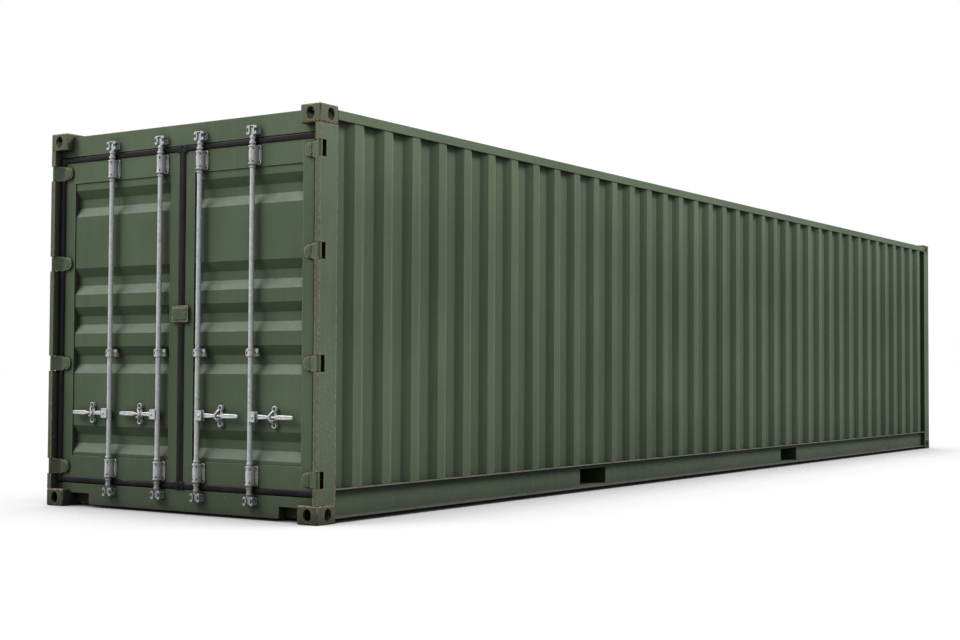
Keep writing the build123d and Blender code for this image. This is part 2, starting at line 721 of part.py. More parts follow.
def retainer(y):
    """A strip with two bolt eyes and the shelf that a closed handle lies over."""
    place = y + RETAINER_OFFSET
    half = RETAINER_WIDTH / 2
    base = PANEL_FACE - RETAINER_PLATE
    low, high = HANDLE_HEIGHT - EYE_RISE, HANDLE_HEIGHT + EYE_RISE
    piece = block(base, PANEL_FACE, place - half, place + half, low, high)
    for height in (low, high):
        piece += flats_x(base - EYE_REACH, PANEL_FACE, place, height, EYE_RADIUS, EYE_FLATS)
    shelf_top = HANDLE_HEIGHT - HANDLE_NECK - SHELF_GAP
    shelf_front = BAR_X - HANDLE_THICK / 2
    piece += block(shelf_front, PANEL_FACE, place - half, place + half, shelf_top - SHELF_THICK, shelf_top)
    return piece


def bar(y):
    """A locking bar with a flat cam beyond each end, a collar that carries it and a slotted handle hub."""
    cam_low, cam_high = CAM_HEIGHTS
    tall, half = CAM_TALL / 2, CAM_THICK / 2
    clear = KEEPER_TALL / 2 + KEEPER_GAP
    apothem = inside_flats(BAR_RADIUS, BAR_FLATS)
    shaft = flats_z(BAR_X, y, cam_low + clear, cam_high - clear, apothem, BAR_FLATS)
    for low, high in ((cam_low - tall, cam_low + clear), (cam_high - clear, cam_high + tall)):
        shaft += block(BAR_X - half, BAR_X + half, y - CAM_REACH, y + CAM_HEEL, low, high)
    collar_low = BOTTOM_BRACKET + BRACKET_TALL / 2 + COLLAR_GAP
    shaft += flats_z(BAR_X, y, collar_low, collar_low + COLLAR_TALL, COLLAR_RADIUS, COLLAR_FLATS)
    half, tall = HUB_THICK / 2, HUB_TALL / 2
    hub = block(BAR_X - half, BAR_X + half, y, y + HUB_REACH, HANDLE_HEIGHT - tall, HANDLE_HEIGHT + tall)
    slot_start = y + RIVET_OFFSET - HANDLE_ROOT - HUB_GAP
    slot = HUB_SLOT / 2
    hub -= block(
        BAR_X - slot,
        BAR_X + slot,
        slot_start,
        y + HUB_REACH,
        HANDLE_HEIGHT - tall,
        HANDLE_HEIGHT + tall,
    )
    rivet = inside_flats(RIVET_RADIUS, RIVET_FLATS)
    hub += flats_x(BAR_X - half, BAR_X + half, y + RIVET_OFFSET, HANDLE_HEIGHT, rivet, RIVET_FLATS)
    return shaft + hub


def handle(y):
    """A flat lever with a round eye on the hub's rivet, a waist at the retainer and a broader grip."""
    eye = y + RIVET_OFFSET
    tip = y + HANDLE_LENGTH
    waist = y + RETAINER_OFFSET
    front = BAR_X - HANDLE_THICK / 2
    back = BAR_X + HANDLE_THICK / 2
    grip = tip - GRIP_LENGTH
    lower = [
        (eye, -HANDLE_ROOT),
        (waist, -HANDLE_NECK),
        (grip, -HANDLE_GRIP),
        (tip - HANDLE_GRIP, -HANDLE_GRIP),
    ]
    upper = [(py, -pz) for py, pz in reversed(lower)]
    lever = prism_x([(py, HANDLE_HEIGHT + pz) for py, pz in lower + upper], front, back)
    lever += flats_x(front, back, eye, HANDLE_HEIGHT, HANDLE_ROOT, HANDLE_FLATS)
    lever += flats_x(front, back, tip - HANDLE_GRIP, HANDLE_HEIGHT, HANDLE_GRIP, HANDLE_FLATS)
    return lever - flats_x(front, back, eye, HANDLE_HEIGHT, RIVET_RADIUS + PIN_FIT, PIN_FLATS)


def keeper(y, height):
    """A keeper with two jaws, each with a lip that holds the cam, and cut corners."""
    low, high = height - KEEPER_TALL / 2, height + KEEPER_TALL / 2
    base = DOOR_FACE - KEEPER_BASE
    front = BAR_X - CAM_THICK / 2 - KEEPER_GAP - KEEPER_LIP_THICK
    lip = front + KEEPER_LIP_THICK
    right_half = [
        (front, KEEPER_LIP),
        (front, KEEPER_HALF - KEEPER_CORNER),
        (front + KEEPER_CORNER, KEEPER_HALF),
        (DOOR_FACE, KEEPER_HALF),
    ]
    inside = [(base, KEEPER_JAW), (lip, KEEPER_JAW), (lip, KEEPER_LIP)]
    half_outline = inside + right_half
    left_half = [(x, -along) for x, along in reversed(half_outline)]
    return prism_z([(x, y + along) for x, along in half_outline + left_half], low, high)


def centre_plate():
    """A plate on the right door that laps over the middle gasket onto the left one."""
    front = DOOR_FACE - GASKET_PROUD - GASKET_CLEARANCE - PLATE_THICK
    half = PLATE_SIZE / 2
    middle = PANEL_MIDDLE + PLATE_RISE
    low, high = middle - half, middle + half
    plate = block(front, front + PLATE_THICK, -PLATE_OVERLAP, PLATE_OVERLAP, low, high)
    foot = block(front, DOOR_FACE, -PLATE_OVERLAP, -DOOR_CENTRE_GAP, low, high)
    return plate + foot


def build_doors():
    pieces = {
        "door_stiles": stiles(),
        "door_rails": rails(),
        "door_panel": [panel()],
        "door_gasket": [gasket()],
        "hinge_blades": [hinge_blade(height) for height in HINGE_HEIGHTS],
        "bar_brackets": brackets(),
        "handle_retainers": [retainer(y) for y in BAR_OFFSETS],
    }
    for name, y in zip(("inner", "outer"), BAR_OFFSETS):
        pieces[f"{name}_bar"] = [bar(y)]
        pieces[f"{name}_handle"] = [handle(y)]
    for name, shapes in pieces.items():
        save(f"left_{name}", *shapes)
        save(f"right_{name}", *[other_side(shape) for shape in shapes])
    save("centre_plate", centre_plate())


def build_keepers():
    pieces = [keeper(y, height) for y in BAR_OFFSETS for height in CAM_HEIGHTS]
    save("cam_keepers", *pieces, *[other_side(piece) for piece in pieces])


build_castings()
build_posts()
build_hinge_pins()
build_side_rails()
build_headers()
build_sills()
build_walls()
build_roof()
build_floor()
build_underframe()
build_doors()
build_keepers()
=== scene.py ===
import json
import math

import bmesh
import bpy
from mathutils import Matrix, Vector


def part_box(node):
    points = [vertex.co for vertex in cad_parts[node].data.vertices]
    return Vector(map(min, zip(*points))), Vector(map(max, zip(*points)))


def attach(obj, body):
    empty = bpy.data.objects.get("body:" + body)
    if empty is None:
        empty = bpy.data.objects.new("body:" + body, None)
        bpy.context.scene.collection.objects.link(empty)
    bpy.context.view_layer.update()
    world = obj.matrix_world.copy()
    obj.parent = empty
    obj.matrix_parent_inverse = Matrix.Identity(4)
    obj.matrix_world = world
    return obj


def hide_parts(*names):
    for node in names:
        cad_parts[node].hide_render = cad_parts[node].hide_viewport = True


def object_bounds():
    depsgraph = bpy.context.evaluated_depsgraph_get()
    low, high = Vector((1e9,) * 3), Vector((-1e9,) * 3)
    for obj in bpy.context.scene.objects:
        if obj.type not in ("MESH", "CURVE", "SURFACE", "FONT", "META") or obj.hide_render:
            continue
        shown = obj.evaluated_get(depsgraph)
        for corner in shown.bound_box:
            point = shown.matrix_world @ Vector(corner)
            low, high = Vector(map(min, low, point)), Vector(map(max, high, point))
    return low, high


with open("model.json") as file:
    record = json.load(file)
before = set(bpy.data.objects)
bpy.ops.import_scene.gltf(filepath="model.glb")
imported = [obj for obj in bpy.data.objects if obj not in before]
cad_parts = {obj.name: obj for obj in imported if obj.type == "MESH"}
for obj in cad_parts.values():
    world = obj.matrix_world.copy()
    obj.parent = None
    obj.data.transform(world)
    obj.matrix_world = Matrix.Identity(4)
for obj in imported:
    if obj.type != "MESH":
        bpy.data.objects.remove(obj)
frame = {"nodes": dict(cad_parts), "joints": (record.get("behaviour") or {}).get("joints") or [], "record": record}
cad_size = [list(corner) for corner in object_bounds()]
scene = bpy.context.scene
scene.view_settings.view_transform = "Standard"

# Sockets of the Mix node when it blends colours
MIX_SHARE, MIX_A, MIX_B, MIX_RESULT = 0, 6, 7, 2


# Shader nodes
class Shader:
    """The node tree of a material or the world, with short calls that add a node and give its output."""

    def __init__(self, owner):
        owner.use_nodes = True
        self.tree = owner.node_tree
        self.tree.nodes.clear()

    def add(self, kind, inputs, out=0, **settings):
        node = self.tree.nodes.new("ShaderNode" + kind)
        for key, value in settings.items():
            setattr(node, key, value)
        for key, value in inputs.items():
            socket = node.inputs[key]
            if isinstance(value, bpy.types.NodeSocket):
                self.tree.links.new(value, socket)
            else:
                socket.default_value = value
        return node.outputs[out]

    def math(self, operation, a, b=0.0, clamp=False):
        return self.add("Math", {0: a, 1: b}, operation=operation, use_clamp=clamp)

    def axis(self, vector, name):
        return self.add("SeparateXYZ", {0: vector}, out=name)

    def blend(self, share, a, b):
        """Colour b over colour a by a share."""
        named = {MIX_SHARE: share, MIX_A: rgba(a), MIX_B: rgba(b)}
        return self.add("Mix", named, out=MIX_RESULT, data_type="RGBA")

    def between(self, value, low, high, start=0.0, end=1.0):
        """A smooth step from start to end as a value goes from low to high."""
        named = {"Value": value, "From Min": low, "From Max": high, "To Min": start, "To Max": end}
        return self.add("MapRange", named, interpolation_type="SMOOTHSTEP")

    def noise(self, place, scale, detail=3.0, roughness=0.55, stretch=None):
        if stretch:
            place = self.add("Mapping", {"Vector": place, "Scale": stretch})
        named = {"Vector": place, "Scale": scale, "Detail": detail, "Roughness": roughness}
        return self.add("TexNoise", named)

    def open_air(self, distance, samples=2):
        """1 on an open face, down to 0 deep in a corner."""
        return self.add("AmbientOcclusion", {"Distance": distance}, out="AO", samples=samples)

    def rounded(self, radius, samples=3):
        """The normal as it would be with edges of this radius."""
        return self.add("Bevel", {"Radius": radius}, samples=samples)

    def bend(self, normal):
        """How far a rounded normal turns from the surface's own."""
        facing = self.add("NewGeometry", {}, out="Normal")
        along = self.add("VectorMath", {0: normal, 1: facing}, out="Value", operation="DOT_PRODUCT")
        return self.math("SUBTRACT", 1.0, along)

    def bump(self, strength, distance, height, normal=None, invert=False):
        named = {"Strength": strength, "Distance": distance, "Height": height}
        if normal is not None:
            named["Normal"] = normal
        return self.add("Bump", named, invert=invert)

    def principled(self, colour, rough, normal, **more):
        """End the material with a Principled shader."""
        named = {"Base Color": colour, "Roughness": rough, "Normal": normal}
        named.update({key.replace("_", " "): value for key, value in more.items()})
        self.finish(self.add("BsdfPrincipled", named))

    def finish(self, surface, kind="Material"):
        output = self.tree.nodes.new("ShaderNodeOutput" + kind)
        self.tree.links.new(surface, output.inputs["Surface"])


def rgba(colour):
    return (*colour, 1.0) if isinstance(colour, tuple) and len(colour) == 3 else colour


def toned(colour, factor, lift=0.0):
    return tuple(factor * value + lift for value in colour)


def new_material(name):
    """A material, its shader and the place on the piece."""
    material = bpy.data.materials.new(name)
    shader = Shader(material)
    return material, shader, shader.add("TexCoord", {}, out="Object")


# Materials
GREEN = (0.084, 0.119, 0.069)
POST_GREEN = (0.092, 0.124, 0.076)
CASTING_GREEN = (0.080, 0.100, 0.062)
# Edge colours: lighter for worn paint and for a painted highlight.
RUB_AND_HIGHLIGHT = (0.21, 0.22, 0.16)
FRAME_RUB_AND_HIGHLIGHT = (0.27, 0.29, 0.23)
LOW_RAIL_RUB_AND_HIGHLIGHT = (0.40, 0.42, 0.36)
HINGE_RUB_AND_HIGHLIGHT = (0.46, 0.48, 0.41)
# Pale grey for up-facing faces: dust, and a painted sheen of the bright sky.
DUST_AND_SHEEN = (0.25, 0.27, 0.23)
PALE_SPECK = (0.30, 0.30, 0.24)
DARK_RUST, PALE_RUST = (0.135, 0.062, 0.028), (0.40, 0.30, 0.19)
# Painted shade for corners, creases and recesses.
PAINTED_SHADE = (0.018, 0.023, 0.014)
DARK_CRYSTAL, PALE_CRYSTAL = (0.53, 0.545, 0.555), (0.70, 0.715, 0.72)
ZINC_CHALK, ZINC_SHADE, ZINC_PIT = (0.78, 0.79, 0.78), (0.33, 0.34, 0.35), (0.20, 0.20, 0.20)
# Zinc dirt low down, painted shade for creases, and rust stains.
ZINC_DIRT, ZINC_PAINTED_SHADE, ZINC_STAIN = (0.16, 0.155, 0.14), (0.03, 0.03, 0.028), (0.15, 0.085, 0.05)
DARK_SEAL, PALE_SEAL, SEAL_DUST = (0.008, 0.008, 0.009), (0.018, 0.018, 0.019), (0.06, 0.058, 0.052)
DARK_WOOD, PALE_WOOD = (0.22, 0.125, 0.06), (0.40, 0.26, 0.14)
WOOD_FIBRE, WOOD_SCUFF = (0.16, 0.09, 0.045), (0.12, 0.105, 0.09)
DARK_HEAD, RED_HEAD = (0.045, 0.024, 0.018), (0.17, 0.075, 0.045)


def worn_and_highlit_edges(s, reach, open_air, cast):
    """Where edges wear and take a painted highlight: on sharp turns in the open and, on a casting, also where its
    mesh is round.
    """
    edge = s.math("MULTIPLY", s.bend(s.rounded(reach)), s.between(open_air, 0.55, 0.85))
    if cast:
        flat = s.add("NewGeometry", {}, out="True Normal")
        flat = s.add("VectorMath", {0: flat}, operation="ABSOLUTE")
        x, y, z = (s.axis(flat, name) for name in "XYZ")
        squareness = s.math("MAXIMUM", s.math("MAXIMUM", x, y), z)
        edge = s.math("MAXIMUM", edge, s.between(squareness, 0.995, 0.93, 0.0, 0.3))
    return edge


def weathered(s, place, base, streaks, fleck, grain):
    """A paint's colour with blotches, run-off streaks, dust and a painted sheen on ledges, and a fine grain."""
    patch = s.noise(place, 0.8, 4.0)
    streak = s.noise(place, 1.0, 5.0, 0.6, stretch=(14, 14, 0.45))
    faded = toned(base, 1.35, 0.012)
    up = s.axis(s.add("NewGeometry", {}, out="Normal"), "Z")
    colour = s.blend(s.between(patch, 0.32, 0.68), toned(base, 0.86), toned(base, 1.16))
    colour = s.blend(s.between(streak, 0.5, 0.78, 0.0, streaks), colour, faded)
    colour = s.blend(s.between(streak, 0.42, 0.26, 0.0, streaks), colour, toned(base, 0.62))
    # Up-facing faces lightened: partly dust, partly a painted sheen where slopes would reflect the sky.
    dust = s.math("MULTIPLY", s.between(up, 0.2, 0.5, 0.0, 0.42), s.between(fleck, 0.2, 0.7, 0.75, 1.0))
    colour = s.blend(dust, colour, DUST_AND_SHEEN)
    return s.blend(s.between(grain, 0.3, 0.8, 0.0, 0.10), colour, faded)


def bare_metal(s, place, height, edge, fleck, wear):
    """Where the paint is gone: chips along the edges and small specks, more of both low down."""
    region = s.noise(place, 1.7, 2.0)
    low = s.between(height, 0.36, 0.20, 0.0, 0.10)
    worn = s.math("ADD", s.between(edge, 0.015, 0.16), s.math("MULTIPLY", region, 0.35))
    worn = s.math("ADD", s.math("ADD", worn, low), s.math("MULTIPLY", fleck, 0.9))
    chip = s.between(worn, 1.62 - 0.5 * wear, 1.72 - 0.5 * wear)
    speck = s.math("ADD", s.noise(place, 75.0, 2.0, 0.5), s.math("MULTIPLY", region, 0.25))
    speck = s.between(s.math("ADD", speck, low), 0.97 - 0.04 * wear, 1.01 - 0.04 * wear, 0.0, 0.8)
    return s.math("MAXIMUM", chip, speck)


def paint(
    name, base=GREEN, wear=0.5, reach=0.008, streaks=0.5, rub_and_highlight=0.42, rub_and_highlight_colour=RUB_AND_HIGHLIGHT,
    specks=0.0, cast=False, ribs=None,
):
    """Matt weathered paint with painted shade in its corners, edges lightened for wear and as a painted highlight,
    and rusty chips.

    A cast piece is also worn where its mesh is round; ribs give how far out a wall's ribs stand, and the sunk
    faces between them get painted shade.
    """
    material, s, place = new_material(name)
    height = s.axis(place, "Z")
    open_air, daylight = s.open_air(0.07), s.open_air(0.4)
    edge = worn_and_highlit_edges(s, reach, open_air, cast)
    grain = s.noise(place, 190.0, 2.0)
    fleck = s.noise(place, 46.0, 5.0, 0.7)

    colour = weathered(s, place, base, streaks, fleck, grain)
    if ribs:
        across = s.math("ABSOLUTE", s.axis(place, "Y"))
        on_rib = s.between(across, ribs - 0.022, ribs - 0.006)
        # Only the ribs' outer edges keep the wear and the painted edge highlight, made stronger.
        edge = s.math("MULTIPLY", s.math("MULTIPLY", edge, 7.0), on_rib)
        # Painted shade: the sunk faces between the ribs darker than the ribs' outer faces.
        colour = s.blend(s.between(across, ribs - 0.008, ribs - 0.03, 0.0, 0.5), colour, toned(base, 0.62))
    if specks:
        dots = s.noise(place, 1.0, 2.0, 0.5, stretch=(120, 120, 60))
        dots = s.between(dots, 0.61, 0.70, 0.0, specks)
        dots = s.math("MULTIPLY", dots, s.between(height, 1.7, 0.3, 0.3, 1.0))
        colour = s.blend(dots, colour, PALE_SPECK)
    # Edges lightened: partly worn paint, partly a painted highlight where edges would catch the light.
    colour = s.blend(s.between(edge, 0.03, 0.22, 0.0, rub_and_highlight), colour, rub_and_highlight_colour)
    # Painted light and shade by height: lighter near the top as if lit from above, darker towards the ground.
    painted_light_by_height = s.math(
        "MULTIPLY", s.between(height, 1.8, 2.55, 1.0, 1.26), s.between(height, 0.0, 0.75, 0.76, 1.0)
    )
    colour = s.add("VectorMath", {0: colour, "Scale": painted_light_by_height}, operation="SCALE")

    bare = bare_metal(s, place, height, edge, fleck, wear)
    rust = s.blend(s.between(s.noise(place, 90.0, 3.0), 0.38, 0.62), DARK_RUST, PALE_RUST)
    colour = s.blend(bare, colour, rust)
    # Painted shade: darker where little open air surrounds a face, in corners, creases and recesses, more so on
    # castings.
    near_painted_shade = s.between(open_air, 0.96, 0.45, 0.0, 0.96 if cast else 0.8)
    painted_shade = s.math("MAXIMUM", near_painted_shade, s.between(daylight, 0.6, 0.28, 0.0, 0.86))
    colour = s.blend(painted_shade, colour, PAINTED_SHADE)

    rough = s.between(s.noise(place, 24.0, 4.0), 0.25, 0.75, 0.52, 0.70)
    rough = s.math("ADD", rough, s.math("MULTIPLY", bare, 0.15), clamp=True)
    normal = s.bump(0.25, 0.006, s.noise(place, 2.6, 2.0), s.rounded(0.005, 2))
    normal = s.bump(0.12, 0.001, grain, normal)
    normal = s.bump(0.6, 0.0012, bare, normal, invert=True)
    s.principled(colour, rough, normal, Specular_IOR_Level=0.2)
    return material


def galvanised(name):
    """Zinc with crystal spangle, chalky blotches, rust stains at its edges and dirt low down."""
    material, s, place = new_material(name)
    height = s.axis(place, "Z")
    rounded = s.rounded(0.003)
    crystal = s.add("SeparateColor", {0: s.add("TexVoronoi", {"Vector": place, "Scale": 75.0}, out="Color")})
    blotch = s.noise(place, 13.0, 6.0, 0.65)
    fine = s.noise(place, 160.0, 3.0)
    colour = s.blend(crystal, DARK_CRYSTAL, PALE_CRYSTAL)
    colour = s.blend(s.between(blotch, 0.52, 0.70, 0.0, 0.55), colour, ZINC_CHALK)
    colour = s.blend(s.between(blotch, 0.46, 0.28, 0.0, 0.45), colour, ZINC_SHADE)
    colour = s.blend(s.between(fine, 0.62, 0.72, 0.0, 0.45), colour, ZINC_PIT)
    colour = s.blend(s.between(height, 0.27, 0.18, 0.0, 0.55), colour, ZINC_DIRT)
    # Painted shade in the zinc's tight corners and creases.
    colour = s.blend(s.between(s.open_air(0.03), 0.7, 0.22, 0.0, 0.85), colour, ZINC_PAINTED_SHADE)
    stain = s.math("ADD", s.between(s.bend(rounded), 0.02, 0.2), s.noise(place, 30.0, 4.0, 0.7))
    stain = s.between(stain, 0.95, 1.25, 0.0, 0.7)
    colour = s.blend(stain, colour, ZINC_STAIN)
    rough = s.between(crystal, 0.0, 1.0, 0.36, 0.5)
    rough = s.math("ADD", rough, s.math("MULTIPLY", stain, 0.3), clamp=True)
    s.principled(colour, rough, s.bump(0.2, 0.0008, fine, rounded), Metallic=0.3)
    return material


def rubber(name):
    """Black sealing rubber, greyed by dust."""
    material, s, place = new_material(name)
    blotch = s.noise(place, 6.0, 5.0, 0.6)
    fine = s.noise(place, 240.0, 3.0)
    colour = s.blend(s.between(blotch, 0.35, 0.72), DARK_SEAL, PALE_SEAL)
    colour = s.blend(s.between(fine, 0.58, 0.8, 0.0, 0.25), colour, SEAL_DUST)
    rough = s.between(blotch, 0.3, 0.7, 0.30, 0.42)
    normal = s.bump(0.25, 0.0008, fine, s.rounded(0.009))
    s.principled(colour, rough, normal, Specular_IOR_Level=0.16)
    return material


def plywood(name):
    """Sealed plywood with grain along the container and scuffs from loading."""
    material, s, place = new_material(name)
    grain = s.noise(place, 1.0, 6.0, 0.65, stretch=(1.4, 42, 42))
    fibre = s.noise(place, 1.0, 3.0, 0.5, stretch=(9, 420, 420))
    scuff = s.noise(place, 3.0, 6.0, 0.7, stretch=(0.5, 5, 1))
    colour = s.blend(s.between(grain, 0.3, 0.7), DARK_WOOD, PALE_WOOD)
    colour = s.blend(s.between(fibre, 0.45, 0.75, 0.0, 0.4), colour, WOOD_FIBRE)
    colour = s.blend(s.between(scuff, 0.52, 0.72, 0.0, 0.6), colour, WOOD_SCUFF)
    s.principled(colour, s.between(grain, 0.2, 0.8, 0.5, 0.68), s.bump(0.3, 0.001, fibre))
    return material


def rusty(name):
    """Rust-brown metal, blotched red and dark."""
    material, s, place = new_material(name)
    blotch = s.noise(place, 120.0, 4.0, 0.65)
    colour = s.blend(s.between(blotch, 0.35, 0.65), DARK_HEAD, RED_HEAD)
    s.principled(colour, 0.75, s.bump(0.4, 0.0008, blotch))
    return material


SHEET_PAINT = paint("sheet_paint", wear=0.3, reach=0.007, streaks=0.2)
WALL_PAINT = paint("wall_paint", wear=-0.12, reach=0.011, rub_and_highlight=0.75, ribs=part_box("side_wall_left")[1].y)
FRAME_PAINT = paint("frame_paint", wear=0.05, reach=0.009, streaks=0.25, rub_and_highlight=0.8, rub_and_highlight_colour=FRAME_RUB_AND_HIGHLIGHT)
LOW_RAIL_PAINT = paint(
    "low_rail_paint", wear=-0.15, reach=0.014, streaks=0.35, rub_and_highlight=0.95, rub_and_highlight_colour=LOW_RAIL_RUB_AND_HIGHLIGHT
)
TOP_RAIL_PAINT = paint("top_rail_paint", wear=0.0, reach=0.010, streaks=0.3, rub_and_highlight=0.3)
POST_PAINT = paint("post_paint", base=POST_GREEN, wear=0.3, reach=0.018, streaks=0.6, specks=0.7)
CASTING_PAINT = paint(
    "casting_paint", base=CASTING_GREEN, wear=1.1, reach=0.013, streaks=0.2, specks=0.4, cast=True
)
HINGE_PAINT = paint("hinge_paint", wear=0.15, reach=0.016, streaks=0.2, rub_and_highlight=1.0, rub_and_highlight_colour=HINGE_RUB_AND_HIGHLIGHT)
ZINC = galvanised("zinc")
RUBBER = rubber("seal_rubber")
PLYWOOD = plywood("plywood")
RUSTY = rusty("rust")

SLOT_MATERIALS = {"paint": FRAME_PAINT, "galvanised": ZINC, "rubber": RUBBER, "floor": PLYWOOD}
NODE_MATERIALS = {
    "side_wall": WALL_PAINT, "end_wall": SHEET_PAINT, "roof": SHEET_PAINT, "door_panel": SHEET_PAINT,
    "cross_members": SHEET_PAINT, "top_rail": TOP_RAIL_PAINT, "bottom_rail": LOW_RAIL_PAINT,
    "_post": POST_PAINT, "castings": CASTING_PAINT,
}
for subpart in frame["record"]["subparts"]:
    node = subpart["node"]
    material = SLOT_MATERIALS[subpart["material_slot"]]
    for word, special in NODE_MATERIALS.items():
        if word in node:
            material = special
    slots = frame["nodes"][node].data.materials
    slots.clear()
    slots.append(material)


# Detail pieces, drawn in millimetres in the container's frame for the left side and mirrored for the right
MM_PER_M = 1000
SHARP_ANGLE, RIM_ANGLE, SMOOTH_ANGLE = (math.radians(angle) for angle in (38, 60, 34))


class Part:
    """A mesh under construction."""

    def __init__(self, shape=None):
        self.shape = bmesh.new() if shape is None else shape

    def absorb(self, shape):
        """Add a shape and free it."""
        mesh = bpy.data.meshes.new("step")
        shape.to_mesh(mesh)
        shape.free()
        self.shape.from_mesh(mesh)
        bpy.data.meshes.remove(mesh)
        return self

    def loops(self, loops, edge=0.0, steps=2, ring=False):
        """Skin between outlines of equal length, edges rounded; a ring joins its last outline to its first."""
        shape = bmesh.new()
        rows = [[shape.verts.new(point) for point in loop] for loop in loops]
        if not ring:
            shape.faces.new(rows[0])
            shape.faces.new(rows[-1])
        for one, two in zip(rows, rows[1:] + rows[:1] if ring else rows[1:]):
            for k in range(len(one)):
                n = (k + 1) % len(one)
                shape.faces.new((one[k], one[n], two[n], two[k]))
        bmesh.ops.recalc_face_normals(shape, faces=shape.faces)
        if edge:
            round_edges(shape, SHARP_ANGLE, edge, steps)
        return self.absorb(shape)

    def prism(self, axis, outline, low, high, edge=0.0, steps=2):
        """An outline carried along an axis. Its points are on the other two axes, in the order X, Y, Z."""
        return self.loops([[set_on(axis, a, b, c) for a, b in outline] for c in (low, high)], edge, steps)

    def lathe(self, axis, centre, profile, sides):
        """A profile of (radius, along) points turned about an axis."""
        a, b = centre
        rows = []
        for radius, along in profile:
            rows.append([set_on(axis, a + u, b + v, along) for u, v in round_outline(radius, sides)])
        return self.loops(rows)

    def beam(self, start, end, width, thick, edge):
        """A flat bar between two points, its width in the Y-Z plane."""
        start, end = Vector(start), Vector(end)
        along = end - start
        across = along.cross(Vector((1, 0, 0))).normalized()
        out = across.cross(along).normalized()
        half = [(across * width + out * thick) / 2, (across * width - out * thick) / 2]
        corners = [half[0], half[1], -half[0], -half[1]]
        return self.loops([[place + corner for corner in corners] for place in (start, end)], edge)

    def add(self, other, matrix=None):
        """A copy of another part, placed, turned or mirrored by a matrix."""
        copy = other.shape.copy()
        if matrix:
            bmesh.ops.transform(copy, matrix=matrix, verts=copy.verts)
            if matrix.determinant() < 0:
                bmesh.ops.reverse_faces(copy, faces=copy.faces)
        return self.absorb(copy)

    def piece(self, name, material, body, slot, *replaced):
        """The finished mesh, riding on a body in place of the CAD nodes named."""
        mesh = bpy.data.meshes.new(name)
        bmesh.ops.scale(self.shape, vec=[1 / MM_PER_M] * 3, verts=self.shape.verts)
        self.shape.to_mesh(mesh)
        self.shape.free()
        mesh.polygons.foreach_set("use_smooth", [True] * len(mesh.polygons))
        mesh.set_sharp_from_angle(angle=SMOOTH_ANGLE)
        mesh.materials.append(material)
        piece = bpy.data.objects.new(name, mesh)
        scene.collection.objects.link(piece)
        piece.modifiers.new("even_normals", "WEIGHTED_NORMAL").keep_sharp = True
        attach(piece, body)
        if replaced:
            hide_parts(*replaced)


def round_edges(shape, angle, radius, steps):
    """Round the edges where faces turn by more than an angle."""
    sharp = [edge for edge in shape.edges if edge.is_manifold and edge.calc_face_angle() > angle]
    bmesh.ops.bevel(
        shape, geom=sharp, offset=radius, segments=steps, profile=0.5, affect="EDGES", clamp_overlap=True
    )


def set_on(axis, a, b, c):
    return {"x": (c, a, b), "y": (a, c, b), "z": (a, b, c)}[axis]


def round_outline(radius, sides):
    turns = [2 * math.pi * k / sides for k in range(sides)]
    return [(radius * math.cos(turn), radius * math.sin(turn)) for turn in turns]


def half_turn(steps):
    return [math.pi * step / steps for step in range(steps + 1)]


def plus_minus(value):
    return -value, value


def squared(share, power):
    """A sine or cosine pushed outwards, which makes a circle squarer."""
    return math.copysign(abs(share) ** power, share)


def rounded(a0, a1, b0, b1, radius, steps=5):
    """A rectangle with round corners, from its first corner arc round to its last."""
    corners = ((a1, b0, -90), (a1, b1, 0), (a0, b1, 90), (a0, b0, 180))
    points = []
    for a, b, turn in corners:
        ca = a - radius if a == a1 else a + radius
        cb = b - radius if b == b1 else b + radius
        for step in range(steps + 1):
            angle = math.radians(turn + 90 * step / steps)
            points.append((ca + radius * math.cos(angle), cb + radius * math.sin(angle)))
    return points


def mm(node):
    low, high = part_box(node)
    return low * MM_PER_M, high * MM_PER_M


MIRROR = Matrix.Scale(-1, 4, (0, 1, 0))
FLIP_X = Matrix.Scale(-1, 4, (1, 0, 0))
FLIP_Z = Matrix.Scale(-1, 4, (0, 0, 1))
JOINTS = {joint["name"]: Vector(joint["pos_m"]) * MM_PER_M for joint in frame["joints"]}
BOX_TOP = cad_size[1][2] * MM_PER_M
DOOR_FACE = mm("left_door_stiles")[0].x
PANEL_FACE = mm("left_door_panel")[0].x

BAR_X = JOINTS["left_inner_bar_turn"].x
BARS = {place: JOINTS[f"left_{place}_bar_turn"].y for place in ("inner", "outer")}
BAR_RADIUS, BORE = 16, 17.5
HANDLE_Z = JOINTS["left_inner_handle_lift"].z
RIVET = JOINTS["left_inner_handle_lift"].y - BARS["inner"]

FLANGE_FACE = DOOR_FACE - 6
FLANGE_HALF = 64
FLANGE_SPREAD, FLANGE_RISE = 39, 49
BEARING_RADIUS = 25
GUIDE_Z = 1057.0
GUIDE_HALF = 28
GUIDE_EAR = BAR_X + 10
EAR_SPREAD = 36
RETAINER_FRONT = PANEL_FACE - 22
RETAINER_OFFSET, RETAINER_RISE = 186, 52
KEEPER_HALF = 29

PIN = JOINTS["left_door_swing"]
HINGE_HEIGHTS = (274.0, 988.0, 1682.0, 2314.0)
KNUCKLE_HALF, SEAL_GAP_HALF = 47, 52

CASTING_LENGTH, CASTING_WIDTH = 178.0, 162.0
CASTING_WALL, CASTING_SIDE_WALL, CASTING_FLOOR, CASTING_CAP = 22, 38, 28, 11
APERTURE_FROM_END, APERTURE_HALF, APERTURE_NEAR, APERTURE_FAR = 103.5, 62, 57.8, 121.2
HOLE_HALF_WIDTH, HOLE_HALF_HEIGHT = 31.75, 39.7
HOLE_CORNER, HOLE_STEPS = 31.7, 10


def both_doors(name, build, material, slot, node=None):
    """The same piece on each leaf."""
    for side in ("left", "right"):
        part = Part().add(build(), MIRROR if side == "right" else None)
        replaced = (f"{side}_{node}",) if node else ()
        part.piece(f"{side}_{name}", material, f"{side}_door", slot, *replaced)


